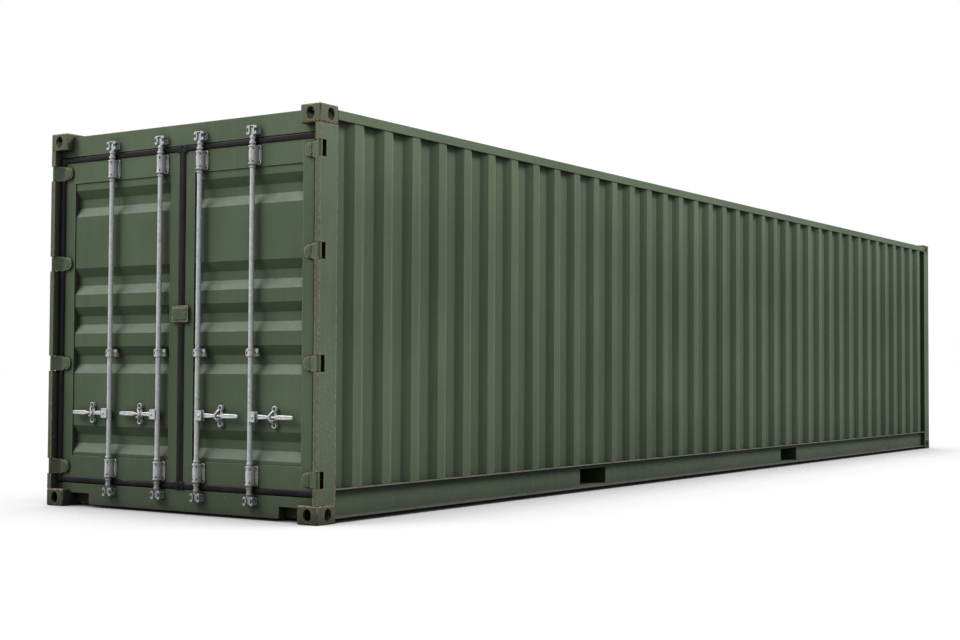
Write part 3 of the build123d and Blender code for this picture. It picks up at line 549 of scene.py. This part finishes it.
# Corner castings
def cut(part, cutters):
    """The shape of the first part less the others."""
    made = []
    for one in [part, *cutters]:
        mesh = bpy.data.meshes.new("cut")
        one.shape.to_mesh(mesh)
        one.shape.free()
        made.append(bpy.data.objects.new("cut", mesh))
        scene.collection.objects.link(made[-1])
    for cutter in made[1:]:
        step = made[0].modifiers.new("cut", "BOOLEAN")
        step.operation = "DIFFERENCE"
        step.solver = "EXACT"
        step.object = cutter
    result = made[0].evaluated_get(bpy.context.evaluated_depsgraph_get())
    mesh = bpy.data.meshes.new_from_object(result)
    shape = bmesh.new()
    shape.from_mesh(mesh)
    for one in made:
        bpy.data.meshes.remove(one.data)
    bpy.data.meshes.remove(mesh)
    return shape


def casting():
    """The door end's lower left casting: a rounded hollow block, an aperture below and a hole in two sides."""
    low, high = mm("bottom_corner_castings")
    x0, y1, z0, z1 = low.x, high.y, low.z, high.z
    x1, y0 = x0 + CASTING_LENGTH, y1 - CASTING_WIDTH
    middle_x, middle_y, middle_z = x0 + APERTURE_FROM_END, (y0 + y1) / 2, (z0 + z1) / 2

    def hole(middle):
        across = (middle - HOLE_HALF_WIDTH, middle + HOLE_HALF_WIDTH)
        upright = (middle_z - HOLE_HALF_HEIGHT, middle_z + HOLE_HALF_HEIGHT)
        return rounded(*across, *upright, HOLE_CORNER, HOLE_STEPS)

    block = Part().prism("z", rounded(x0, x1, y0, y1, 11, 4), z0, z1, 9, 3)
    room = rounded(x0 + CASTING_WALL, x1 - CASTING_WALL, y0 + CASTING_WALL, y1 - CASTING_SIDE_WALL, 8)
    inside = Part().prism("z", room, z0 + CASTING_FLOOR, z1 - CASTING_CAP)
    slot = (middle_x - APERTURE_HALF, middle_x + APERTURE_HALF, y1 - APERTURE_FAR, y1 - APERTURE_NEAR)
    aperture = Part().prism("z", rounded(*slot, HOLE_CORNER, HOLE_STEPS), z0 - 5, z0 + 40)
    end = Part().prism("x", hole(middle_y), x0 - 5, x0 + 40)
    side = Part().prism("y", hole(middle_x), y1 - 60, y1 + 5)
    shape = cut(block, [inside, aperture, end, side])
    round_edges(shape, RIM_ANGLE, 4.0, 3)
    return Part(shape)


def build_castings():
    one = casting()
    level = Part()
    for matrix in (None, MIRROR, FLIP_X, FLIP_X @ MIRROR):
        level.add(one, matrix)
    top = Part().add(level, Matrix.Translation((0, 0, BOX_TOP)) @ FLIP_Z)
    level.piece("castings_low", CASTING_PAINT, "frame", "paint", "bottom_corner_castings")
    top.piece("castings_high", CASTING_PAINT, "frame", "paint", "top_corner_castings")


# Locking gear
def bolt(part, y, z, face, radius):
    """A hexagon head on a washer, facing the doors' front."""
    washer = [(radius * 1.45, face), (radius * 1.45, face - 1.6), (radius * 1.3, face - 2.4)]
    part.lathe("x", (y, z), washer, 20)
    head = [(y + a, z + b) for a, b in round_outline(radius, 6)]
    part.prism("x", head, face - radius, face - 2, 1.2)


def eye(part, y, z, root, tall):
    """A raised ring round a bolt's hole."""
    front = root - tall
    ring = [(14, root + 1), (14, front + 2), (12, front), (9, front), (8, front + 3)]
    part.lathe("x", (y, z), ring, 24)


def saddle(part, y, z0, z1, radius, back, edge):
    """A barrel round a bar, with legs back to a plane."""
    turns = half_turn(14)
    outer = [(BAR_X - radius * math.sin(t), y + radius * math.cos(t)) for t in turns]
    inner = [(BAR_X - BORE * math.sin(t), y + BORE * math.cos(t)) for t in reversed(turns)]
    outline = [(back, y + radius), *outer, (back, y - radius), (back, y - BORE), *inner, (back, y + BORE)]
    part.prism("z", outline, z0, z1, edge)


def bracket_levels():
    low, high = mm("left_bar_brackets")
    return high.z - FLANGE_HALF, low.z + FLANGE_HALF


def brackets():
    """For each bar two bearings with lips, on ribbed flanges, and a guide between them."""
    part = Part()
    for y in BARS.values():
        for z in bracket_levels():
            saddle(part, y, z - 62, z + 62, BEARING_RADIUS, FLANGE_FACE + 1, 2.5)
            for end in plus_minus(55):
                saddle(part, y, z + end - 5, z + end + 5, BEARING_RADIUS + 3, FLANGE_FACE + 1, 1.5)
            flange = rounded(y - 50, y + 50, z - FLANGE_HALF, z + FLANGE_HALF, 15)
            part.prism("x", flange, FLANGE_FACE, DOOR_FACE, 2)
            for side in plus_minus(FLANGE_SPREAD):
                rib = rounded(y + side - 5, y + side + 5, z - 33, z + 33, 4)
                part.prism("x", rib, FLANGE_FACE - 6, FLANGE_FACE + 1, 2)
                for end in plus_minus(FLANGE_RISE):
                    eye(part, y + side, z + end, FLANGE_FACE, 6)
        part.add(middle_guide(y))
    return part


def middle_guide(y):
    """A short saddle with an ear each side and legs that run back to the sunk panel."""
    part = Part()
    z, back, deep = GUIDE_Z, BAR_X + 8, PANEL_FACE + 32
    saddle(part, y, z - GUIDE_HALF + 1, z + GUIDE_HALF - 1, BORE + 3, back, 1.2)
    for rise in plus_minus(21):
        saddle(part, y, z + rise - 5, z + rise + 5, BORE + 7, back, 2)
    for side in plus_minus(EAR_SPREAD):
        ear = rounded(*sorted((y + side * 0.5, y + side * 1.45)), z - 24, z + 24, 8)
        part.prism("x", ear, GUIDE_EAR, GUIDE_EAR + 7, 2)
        eye(part, y + side, z, GUIDE_EAR, 7)
    low, high = z - GUIDE_HALF + 2, z + GUIDE_HALF - 2
    leg = [(BAR_X + 4, low), (deep, low), (deep, z - 16), (PANEL_FACE + 11, high), (BAR_X + 4, high)]
    for side in plus_minus(19.6):
        part.prism("y", leg, y + side - 2.4, y + side + 2.4, 1)
    return part


def bolt_heads():
    """Rust-stained heads: round each bearing, on its flange, and in the guides' and retainers' eyes."""
    part = Part()
    button = [(5.6, 0.5), (5.6, -1), (4.2, -2.8), (1.6, -3.6)]
    for y in BARS.values():
        for z in bracket_levels():
            for turn in (-46, 30):
                out = Matrix.Translation((-BEARING_RADIUS, 0, 0))
                out = Matrix.Rotation(math.radians(turn), 4, "Z") @ out
                for end in plus_minus(40):
                    head = Part().lathe("x", (0, 0), button, 14)
                    part.add(head, Matrix.Translation((BAR_X, y, z + end)) @ out)
            for side in plus_minus(FLANGE_SPREAD):
                for end in plus_minus(FLANGE_RISE):
                    bolt(part, y + side, z + end, FLANGE_FACE - 2, 6)
        for side in plus_minus(EAR_SPREAD):
            bolt(part, y + side, GUIDE_Z, GUIDE_EAR - 3, 6)
        for rise in plus_minus(RETAINER_RISE):
            bolt(part, y + RETAINER_OFFSET, HANDLE_Z + rise, RETAINER_FRONT + 9, 7)
    return part


def retainers():
    """For each handle an upright strap with an eye at both ends, and a shelf that the lever lies on."""
    part = Part()
    front = RETAINER_FRONT
    ring = [(20, PANEL_FACE), (20, front + 4), (18, front + 0.6), (14, front)]
    ring += [(11, front + 2), (10.5, front + 9)]
    for y in BARS.values():
        place = y + RETAINER_OFFSET
        strap = rounded(place - 11, place + 11, HANDLE_Z - RETAINER_RISE, HANDLE_Z + RETAINER_RISE, 6)
        part.prism("x", strap, PANEL_FACE - 5, PANEL_FACE, 1.5)
        for rise in plus_minus(RETAINER_RISE):
            part.lathe("x", (place, HANDLE_Z + rise), ring, 28)
        shelf = rounded(place - 12, place + 12, HANDLE_Z - 24, HANDLE_Z - 17, 2.5)
        part.prism("x", shelf, BAR_X - 6, PANEL_FACE, 1.2)
    return part


def bar(y):
    """A round bar with rings beside its bearings, a forged cam at each end and a slotted hub for the handle."""
    part = Part()
    top, bottom = bracket_levels()
    low, high = mm("left_inner_bar")
    start, end = low.z + 53, high.z - 53
    rings = [  # middle, radius and thickness, from the bottom up
        (start + 14, 20, 12), (bottom - 76, 21, 11), (bottom + 77, 21, 13),
        (top - 76, 20.5, 11), (top + 79, 22, 15), (end - 14, 20, 12),
    ]
    profile = [(BAR_RADIUS - 3, start), (BAR_RADIUS, start + 3)]
    for z, radius, tall in rings:
        half = tall / 2
        profile += [(BAR_RADIUS, z - half), (radius - 1.5, z - half + 0.4), (radius, z - half + 2)]
        profile += [(radius, z + half - 2), (radius - 1.5, z + half - 0.4), (BAR_RADIUS, z + half)]
    profile += [(BAR_RADIUS, end - 3), (BAR_RADIUS - 3, end)]
    part.lathe("z", (BAR_X, y), profile, 32)
    for z0, z1 in ((low.z, start + 2), (end - 2, high.z)):
        part.prism("z", rounded(BAR_X - 7, BAR_X + 7, y - 22, y + 11, 5), z0, z1, 2.5)

    z0, z1 = HANDLE_Z - 34, HANDLE_Z + 34
    part.prism("x", rounded(y + 2, y + 21, z0, z1, 6), BAR_X - 18, BAR_X + 18, 2)
    for x in (BAR_X - 18, BAR_X + 8):
        part.prism("x", rounded(y + 8, y + 51, z0, z1, 8), x, x + 10, 2)
    part.prism("x", rounded(y + 1, y + 56, z0 + 1, z1 - 1, 7), BAR_X - 23, BAR_X - 17, 2.2)
    rivet_head = [(9, BAR_X - 22), (9, BAR_X - 24.5), (6.5, BAR_X - 27), (2.5, BAR_X - 28)]
    rivet_shank = [(5.6, BAR_X - 20), (5.6, BAR_X + 18), (8, BAR_X + 18), (7, BAR_X + 21)]
    part.lathe("x", (y + RIVET, HANDLE_Z), rivet_head, 20)
    part.lathe("x", (y + RIVET, HANDLE_Z), rivet_shank, 16)
    return part


def handle(y):
    """A forged lever, thin at its retainer, with a grooved grip and a clip with two arms."""
    part = Part()
    stations = [  # distance from the bar, half thickness, half height and depth of the groove
        (24.5, 5.0, 6.0, 0), (27, 6.2, 11.0, 0), (34, 6.4, 13.6, 0), (54, 6.4, 13.8, 0), (64, 6.5, 15.5, 1.2),
        (100, 6.5, 14.2, 1.8), (134, 6.5, 11.4, 1.2), (146, 6.5, 9.0, 0), (172, 6.5, 7.4, 0),
        (204, 6.5, 7.2, 0), (214, 6.8, 9.0, 0), (226, 8.0, 13.2, 0), (240, 8.5, 14.8, 1.8),
        (290, 8.5, 14.4, 2.6), (330, 8.2, 13.2, 1.8), (343, 7.8, 12.4, 0), (351, 6.5, 10.8, 0),
        (354.5, 3.8, 7.6, 0),
    ]
    sides, power = 24, 0.6
    rows = []
    for along, half_x, half_z, groove in stations:
        row = []
        for k in range(sides):
            turn = 2 * math.pi * (k + 0.5) / sides
            x = half_x * squared(math.cos(turn), power)
            z = half_z * squared(math.sin(turn), power)
            if x < 0 and abs(z) < 0.5 * half_z:
                x += groove
            row.append((BAR_X + x, y + along, HANDLE_Z + z))
        rows.append(row)
    part.loops(rows)
    clip = y + 163
    part.prism("x", rounded(clip - 9, clip + 9, HANDLE_Z - 13, HANDLE_Z + 13, 5), BAR_X - 15, BAR_X + 9, 3)
    for way in plus_minus(1):
        root = (BAR_X - 12, clip - 2, HANDLE_Z + way * 4)
        part.beam(root, (BAR_X - 6, y + 180, HANDLE_Z + way * 28), 12, 7, 2.5)
        tip = (PANEL_FACE - 26, y + RETAINER_OFFSET, HANDLE_Z + way * 42)
        part.beam((BAR_X - 7, y + 179, HANDLE_Z + way * 26), tip, 11, 6, 2.2)
    return part


def keeper(y, z, capped):
    """A claw each side of the cam, open outwards, on a foot with studs; the upper ones have a cap."""
    part = Part()
    front = BAR_X - 17
    part.prism("x", rounded(y - 41, y + 41, z - 27, z + 27, 12), DOOR_FACE - 5, DOOR_FACE, 1.5)
    turns = [math.radians(20 + 320 * step / 24) for step in range(25)]
    for way in plus_minus(1):
        middle = y + way * 28.5
        claw = []
        for half_y, half_z, path in ((15, KEEPER_HALF, turns), (5.5, 15.5, turns[::-1])):
            for turn in path:
                c, s = squared(math.cos(turn), 0.75), squared(math.sin(turn), 0.75)
                claw.append((middle + way * half_y * c, z + half_z * s))
        part.prism("x", claw, front, front + 9, 2.5, 3)
        for rise in plus_minus(21):
            jaw = rounded(*sorted((y + way * 24, y + way * 37)), z + rise - 4, z + rise + 4, 3.5)
            part.prism("x", jaw, front + 6, DOOR_FACE - 3, 1.5)
        part.lathe("x", (y + way * 31, z), [(6, DOOR_FACE - 4), (5, DOOR_FACE - 18), (2, DOOR_FACE - 20)], 16)
    if capped:
        part.prism("z", rounded(front, DOOR_FACE, y - 38, y + 38, 8), z + KEEPER_HALF - 6, z + KEEPER_HALF, 2)
    return part


def build_locking_gear():
    both_doors("brackets", brackets, ZINC, "galvanised", "bar_brackets")
    both_doors("bolt_heads", bolt_heads, RUSTY, "galvanised")
    both_doors("retainers", retainers, ZINC, "galvanised", "handle_retainers")
    for side, matrix in (("left", None), ("right", MIRROR)):
        for place, y in BARS.items():
            name = f"{side}_{place}"
            rod, lever = Part().add(bar(y), matrix), Part().add(handle(y), matrix)
            rod.piece(f"{name}_rod", ZINC, f"{name}_bar", "galvanised", f"{name}_bar")
            lever.piece(f"{name}_lever", ZINC, f"{name}_handle", "galvanised", f"{name}_handle")
    low, high = mm("cam_keepers")
    part = Part()
    for y in BARS.values():
        for z, capped in ((low.z + KEEPER_HALF, False), (high.z - KEEPER_HALF, True)):
            for matrix in (None, MIRROR):
                part.add(keeper(y, z, capped), matrix)
    part.piece("keepers", ZINC, "frame", "galvanised", "cam_keepers")


# Seals, hinges and centre plate
def around(low, high):
    return (low.y, low.z), (high.y, low.z), (high.y, high.z), (low.y, high.z)


def gasket():
    """A rubber seal round the leaf, with a bead by the post and moulded corners by the middle joint."""
    part = Part()
    low, high = mm("left_door_gasket")
    leaf_low, leaf_high = mm("left_door_stiles")
    front, back = low.x, high.x
    shares = [0, 0.04, 0.12, 0.25, 0.4, 0.6, 0.75, 0.88, 0.96, 1]
    depths = [9, 5, 2.4, 0.8, 0, 0, 0.8, 2.4, 5, 9]
    profile = [(0, back)] + [(share, front + depth) for share, depth in zip(shares, depths)] + [(1, back)]
    rows = []
    for share, x in profile:
        corners = []
        for (y0, z0), (y1, z1) in zip(around(leaf_low, leaf_high), around(low, high)):
            corners.append((x, y0 + share * (y1 - y0), z0 + share * (z1 - z0)))
        rows.append(corners)
    part.loops(rows, ring=True)

    stops = [low.z + 6]
    for z in HINGE_HEIGHTS:
        stops += [z - SEAL_GAP_HALF, z + SEAL_GAP_HALF]
    stops.append(high.z - 6)
    middle, half = (leaf_high.y + high.y) / 2, (high.y - leaf_high.y) / 2 - 0.5
    bead = [(front + 8 - 20 * math.sin(t) ** 0.6, middle + half * math.cos(t)) for t in half_turn(10)]
    for z0, z1 in zip(stops[0::2], stops[1::2]):
        part.prism("z", bead, z0, z1)
    for z0, z1 in ((low.z - 2, leaf_low.z + 6), (leaf_high.z - 6, high.z + 2)):
        part.prism("x", rounded(low.y, leaf_low.y + 13, z0, z1, 6), front - 3, front + 14, 3.5, 3)
    return part


def joint_lip():
    """A rubber lip on the right leaf that covers the joint between the two seals."""
    low, high = mm("right_door_gasket")
    outline = [(low.x + 3 - 6 * math.sin(t), -1.5 + 22 * math.cos(t)) for t in half_turn(12)]
    return Part().prism("z", outline, low.z + 20, high.z - 20)


def hinges():
    """A rolled knuckle on each pin with a cranked tongue on the stile, stamped with a rim."""
    part = Part()
    stile = mm("left_door_stiles")[1].y
    tip = mm("left_hinge_blades")[0].y
    for z in HINGE_HEIGHTS:
        z0, z1 = z - KNUCKLE_HALF, z + KNUCKLE_HALF
        for inset, depth in ((0, 14), (9, 18)):
            root, nose, low, high = stile + 12 - 3 * inset, tip + inset, z0 + 3 + inset, z1 - 3 - inset
            tongue = [(root, low), (nose + 34, low), (nose + 10, low + 11), (nose, low + 31)]
            tongue += [(nose, high - 31), (nose + 10, high - 11), (nose + 34, high), (root, high)]
            part.prism("x", tongue, DOOR_FACE - depth, DOOR_FACE, 3)
        crank = [(PIN.x - 8, PIN.y - 13.8), (DOOR_FACE - 14, stile + 6), (DOOR_FACE - 13, stile - 8)]
        crank += [(DOOR_FACE - 1, stile - 8), (DOOR_FACE - 1, stile + 27)]
        crank += [(PIN.x + 13.8, PIN.y - 8), (PIN.x, PIN.y)]
        part.prism("z", crank, z0 - 3, z1 + 3)
        barrel = [(8.2, z0 - 4), (14, z0 - 4), (16, z0 - 1.5), (16, z1 + 1.5), (14, z1 + 4), (8.2, z1 + 4)]
        part.lathe("z", (PIN.x, PIN.y), barrel, 28)
    return part


def centre_plate():
    """A plate with a raised pad over the middle joint, on a foot."""
    part = Part()
    low, high = mm("centre_plate")
    part.prism("x", rounded(low.y, high.y, low.z, high.z, 8), low.x, low.x + 5, 2)
    pad = rounded(low.y + 14, high.y - 14, low.z + 14, high.z - 14, 5)
    part.prism("x", pad, low.x - 4, low.x + 4, 3.5, 1)
    foot = rounded(low.y + 4, low.y + 40, low.z + 4, high.z - 4, 5)
    part.prism("x", foot, low.x + 3, DOOR_FACE, 1)
    return part


def build_door_trim():
    both_doors("seal", gasket, RUBBER, "rubber", "door_gasket")
    joint_lip().piece("joint_lip", RUBBER, "right_door", "rubber")
    both_doors("hinges", hinges, HINGE_PAINT, "paint", "hinge_blades")
    centre_plate().piece("joint_plate", HINGE_PAINT, "right_door", "paint", "centre_plate")


build_castings()
build_locking_gear()
build_door_trim()


# Stage, light and camera
FLOOR_HALF = 160.0
FLOOR_GREY, FLOOR_GREY_SEEN = (0.16, 0.16, 0.16), (0.10, 0.10, 0.10)
WORLD_LIGHT, WORLD_SEEN = 0.44, 1.0
CAMERA_PLACE = (-13.211, -7.123, 0.938)
CAMERA_YAW, CAMERA_PITCH, CAMERA_ROLL = (math.radians(angle) for angle in (33.581, 1.992, 0.29))
SENSOR_WIDTH, FOCAL_PIXELS, PHOTO_WIDTH = 36.0, 1508.4, 960


def build_floor():
    """A pale floor that the camera sees as white, but for the shade near the container."""
    mesh = bpy.data.meshes.new("floor")
    shape = bmesh.new()
    bmesh.ops.create_grid(shape, x_segments=4, y_segments=4, size=FLOOR_HALF)
    shape.to_mesh(mesh)
    shape.free()
    floor = bpy.data.objects.new("floor", mesh)
    scene.collection.objects.link(floor)
    material = bpy.data.materials.new("studio_floor")
    s = Shader(material)
    seen = s.add("LightPath", {}, out="Is Camera Ray")
    # The glow dims where ambient occlusion is low near the container: a painted contact shadow over the floor's
    # real shade.
    glow = s.math("MULTIPLY", seen, s.between(s.open_air(1.6, 4), 0.1, 0.91, 0.0, 0.93))
    matt = s.add("BsdfDiffuse", {"Color": s.blend(seen, FLOOR_GREY, FLOOR_GREY_SEEN)})
    s.finish(s.add("AddShader", {0: matt, 1: s.add("Emission", {"Strength": glow})}))
    mesh.materials.append(material)


def build_world():
    """A soft even light, seen as white."""
    world = bpy.data.worlds.new("studio")
    scene.world = world
    s = Shader(world)
    path = s.tree.nodes.new("ShaderNodeLightPath").outputs
    seen = s.math("MAXIMUM", path["Is Camera Ray"], path["Is Glossy Ray"])
    seen = s.math("MAXIMUM", seen, path["Is Transmission Ray"])
    strength = s.add("MapRange", {"Value": seen, "To Min": WORLD_LIGHT, "To Max": WORLD_SEEN})
    s.finish(s.add("Background", {"Color": (1, 1, 1, 1), "Strength": strength}), "World")


def sun(name, towards, strength, spread):
    """A broad distant lamp; towards points from the container to it."""
    light = bpy.data.lights.new(name, "SUN")
    light.energy = strength
    light.angle = math.radians(spread)
    lamp = bpy.data.objects.new(name, light)
    lamp.rotation_euler = Vector(towards).to_track_quat("Z", "Y").to_euler()
    scene.collection.objects.link(lamp)


def build_camera():
    flat = math.cos(CAMERA_PITCH)
    forward = Vector((math.cos(CAMERA_YAW) * flat, math.sin(CAMERA_YAW) * flat, math.sin(CAMERA_PITCH)))
    right = Vector((math.sin(CAMERA_YAW), -math.cos(CAMERA_YAW), 0))
    up = right.cross(forward)
    level = Matrix((right, up, -forward)).transposed().to_4x4()
    data = bpy.data.cameras.new("camera")
    data.sensor_width = SENSOR_WIDTH
    data.lens = SENSOR_WIDTH * FOCAL_PIXELS / PHOTO_WIDTH
    data.clip_end = 500.0
    camera = bpy.data.objects.new("camera", data)
    camera.matrix_world = Matrix.Translation(CAMERA_PLACE) @ level @ Matrix.Rotation(CAMERA_ROLL, 4, "Z")
    scene.collection.objects.link(camera)
    scene.camera = camera


build_floor()
build_world()
sun("side_light", (0.62, -0.52, 0.62), 2.85, 20)
sun("door_light", (-0.46, 0.52, 0.72), 2.75, 35)
build_camera()
